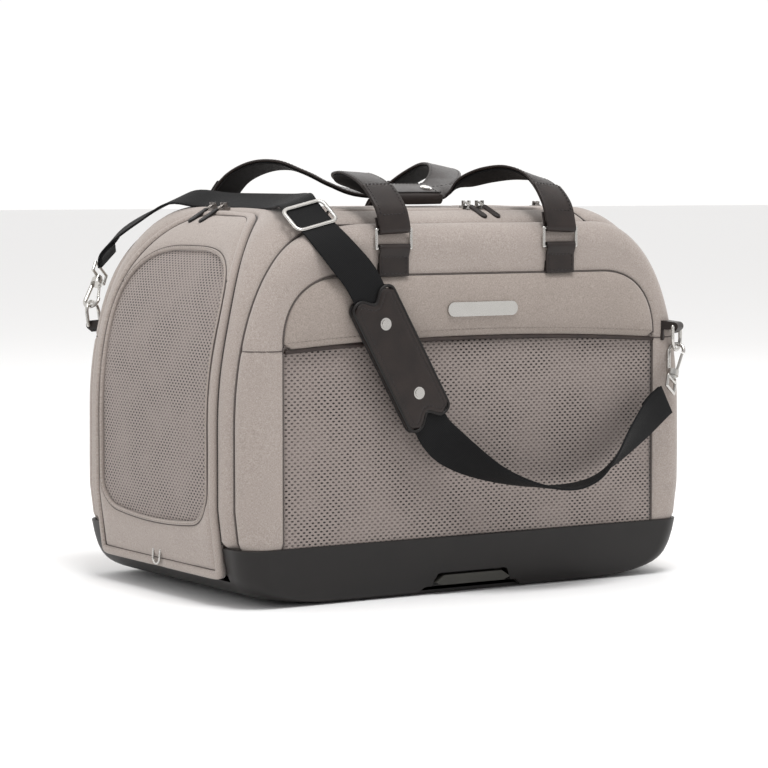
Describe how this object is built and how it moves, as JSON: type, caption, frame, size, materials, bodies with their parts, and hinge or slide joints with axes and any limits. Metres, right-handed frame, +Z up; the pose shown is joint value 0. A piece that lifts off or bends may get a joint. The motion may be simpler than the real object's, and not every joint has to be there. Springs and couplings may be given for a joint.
{
  "type": "pet carrier bag",
  "caption": "Arched soft-sided pet carrier on a moulded tray base, with roll-down mesh end doors, a top flap, leather-faced grab handles and a padded shoulder strap.",
  "frame": {"origin": "centre of the tray's flat underside, where the bag stands", "axes": "+X along the bag from one end door to the other, -Y out of the face with the badge, +Z up"},
  "size_m": [0.538, 0.4217, 0.4257],
  "materials": {
    "tray": "fine moulded grain",
    "dock": "satin",
    "board": "plain",
    "cushion": "soft brushed knit",
    "hoop": "plain",
    "shell_fabric": "heathered woven fabric over foam",
    "mesh": "knitted hexagonal mesh",
    "header_fabric": "heathered woven fabric over thick foam",
    "zip": "coil zip on woven tape",
    "gunmetal": "dark nickel plate",
    "pull_cord": "braided cord with a leather tab",
    "leather": "fine-grained dark brown leather, stitched",
    "nickel": "satin nickel plate",
    "webbing": "tight twill webbing",
    "badge": "brushed metal plate"
  },
  "bodies": {
    "root": {"base_tray": "tray", "tray_ribs": "tray", "dock_bars": "dock", "floor_board": "board", "floor_cushion": "cushion", "arch_hoops": "hoop", "front_panel": "shell_fabric", "back_panel": "shell_fabric", "front_mesh": "mesh", "back_mesh": "mesh", "front_header": "header_fabric", "back_header": "header_fabric", "gusset_left": "shell_fabric", "gusset_right": "shell_fabric", "gusset_top": "shell_fabric", "left_zip_track": "zip", "right_zip_track": "zip", "top_zip_track": "zip", "front_handle_tabs": "leather", "back_handle_tabs": "leather", "front_ring_tab": "leather", "back_ring_tab": "leather", "shoulder_strap": "webbing", "strap_pad": "leather", "pad_rivets": "nickel", "badge_plate": "badge"},
    "door_left": {"left_door": "shell_fabric", "left_door_mesh": "mesh", "left_door_loop": "gunmetal"},
    "door_right": {"right_door": "shell_fabric", "right_door_mesh": "mesh", "right_door_loop": "gunmetal"},
    "flap": {"top_flap": "shell_fabric"},
    "handle_front": {"front_handle": "leather", "front_handle_rings": "nickel", "handle_wrap": "leather", "handle_snap": "nickel"},
    "handle_back": {"back_handle": "leather", "back_handle_rings": "nickel"},
    "hook_front": {"front_d_ring": "nickel", "front_snap_hook": "nickel", "front_swivel": "nickel"},
    "hook_back": {"back_d_ring": "nickel", "back_snap_hook": "nickel", "back_swivel": "nickel"},
    "gate_front": {"front_hook_gate": "nickel"},
    "gate_back": {"back_hook_gate": "nickel"},
    "strap_buckle": {"strap_slider": "nickel"},
    "zip_left_a": {"left_slider_a": "gunmetal"},
    "pull_left_a": {"left_pull_a": "pull_cord"},
    "zip_left_b": {"left_slider_b": "gunmetal"},
    "pull_left_b": {"left_pull_b": "pull_cord"},
    "zip_right_a": {"right_slider_a": "gunmetal"},
    "pull_right_a": {"right_pull_a": "pull_cord"},
    "zip_right_b": {"right_slider_b": "gunmetal"},
    "pull_right_b": {"right_pull_b": "pull_cord"},
    "zip_top_a": {"top_slider_a": "gunmetal"},
    "pull_top_a": {"top_pull_a": "pull_cord"},
    "zip_top_b": {"top_slider_b": "gunmetal"},
    "pull_top_b": {"top_pull_b": "pull_cord"}
  },
  "joints": [
    {"name": "left_door_hinge", "type": "hinge", "parent": "root", "child": "door_left", "pos_m": [-0.2625, 0, 0.025], "axis": [0, -1, 0], "range_deg": [0, 94]},
    {"name": "right_door_hinge", "type": "hinge", "parent": "root", "child": "door_right", "pos_m": [0.2625, 0, 0.025], "axis": [0, 1, 0], "range_deg": [0, 94]},
    {"name": "top_flap_hinge", "type": "hinge", "parent": "root", "child": "flap", "pos_m": [0, 0.112, 0.3766], "axis": [-1, 0, 0], "range_deg": [0, 61]},
    {"name": "front_handle_swing", "type": "hinge", "parent": "root", "child": "handle_front", "pos_m": [0, -0.1716, 0.339], "axis": [1, 0, 0], "range_deg": [0, 160]},
    {"name": "back_handle_swing", "type": "hinge", "parent": "root", "child": "handle_back", "pos_m": [0, 0.1716, 0.339], "axis": [-1, 0, 0], "range_deg": [0, 160]},
    {"name": "front_hook_swing", "type": "hinge", "parent": "root", "child": "hook_front", "pos_m": [0.243, -0.175, 0.255], "axis": [-0.8387, -0.5446, 0], "range_deg": [-2, 12], "deforming": ["shoulder_strap"]},
    {"name": "back_hook_swing", "type": "hinge", "parent": "root", "child": "hook_back", "pos_m": [-0.243, 0.175, 0.255], "axis": [0.8387, 0.5446, 0], "range_deg": [-12, 3], "deforming": ["shoulder_strap"]},
    {"name": "front_gate_hinge", "type": "hinge", "parent": "hook_front", "child": "gate_front", "pos_m": [0.23756, -0.18354, 0.21124], "axis": [-0.7601, -0.4936, 0.4226], "range_deg": [0, 24], "stiffness_Nm_per_rad": 0.02, "springref_deg": -17.19},
    {"name": "back_gate_hinge", "type": "hinge", "parent": "hook_back", "child": "gate_back", "pos_m": [-0.23207, 0.18389, 0.29589], "axis": [0.6912, 0.3422, -0.6365], "range_deg": [0, 24], "stiffness_Nm_per_rad": 0.02, "springref_deg": -17.19},
    {"name": "strap_buckle_slide", "type": "slide", "parent": "root", "child": "strap_buckle", "axis": [0.1349, -0.7904, -0.5976], "range_m": [-0.006, 0]},
    {"name": "left_slider_a_slide", "type": "slide", "parent": "door_left", "child": "zip_left_a", "axis": [0, 1, 0], "range_m": [-0.03, 0]},
    {"name": "left_pull_a_swing", "type": "hinge", "parent": "zip_left_a", "child": "pull_left_a", "pos_m": [-0.17396, 0.024, 0.38003], "axis": [0, 1, 0], "range_deg": [0, 150]},
    {"name": "left_slider_b_slide", "type": "slide", "parent": "door_left", "child": "zip_left_b", "axis": [0, 1, 0], "range_m": [0, 0.03]},
    {"name": "left_pull_b_swing", "type": "hinge", "parent": "zip_left_b", "child": "pull_left_b", "pos_m": [-0.17396, 0.046, 0.38003], "axis": [0, 1, 0], "range_deg": [0, 150]},
    {"name": "right_slider_a_slide", "type": "slide", "parent": "door_right", "child": "zip_right_a", "axis": [0, -1, 0], "range_m": [-0.03, 0]},
    {"name": "right_pull_a_swing", "type": "hinge", "parent": "zip_right_a", "child": "pull_right_a", "pos_m": [0.17396, -0.024, 0.38003], "axis": [0, -1, 0], "range_deg": [0, 150]},
    {"name": "right_slider_b_slide", "type": "slide", "parent": "door_right", "child": "zip_right_b", "axis": [0, -1, 0], "range_m": [0, 0.03]},
    {"name": "right_pull_b_swing", "type": "hinge", "parent": "zip_right_b", "child": "pull_right_b", "pos_m": [0.17396, -0.046, 0.38003], "axis": [0, -1, 0], "range_deg": [0, 150]},
    {"name": "top_slider_a_slide", "type": "slide", "parent": "flap", "child": "zip_top_a", "axis": [1, 0, 0], "range_m": [-0.03, 0]},
    {"name": "top_pull_a_swing", "type": "hinge", "parent": "zip_top_a", "child": "pull_top_a", "pos_m": [0.03, -0.106, 0.3819], "axis": [-1, 0, 0], "range_deg": [0, 150]},
    {"name": "top_slider_b_slide", "type": "slide", "parent": "flap", "child": "zip_top_b", "axis": [1, 0, 0], "range_m": [0, 0.03]},
    {"name": "top_pull_b_swing", "type": "hinge", "parent": "zip_top_b", "child": "pull_top_b", "pos_m": [0.046, -0.106, 0.3819], "axis": [-1, 0, 0], "range_deg": [0, 150]}
  ],
  "couplings": [
    {"joint": "front_handle_swing", "follows": "top_flap_hinge", "ratio": 2.6},
    {"joint": "back_handle_swing", "follows": "top_flap_hinge", "ratio": 2.6}
  ]
}
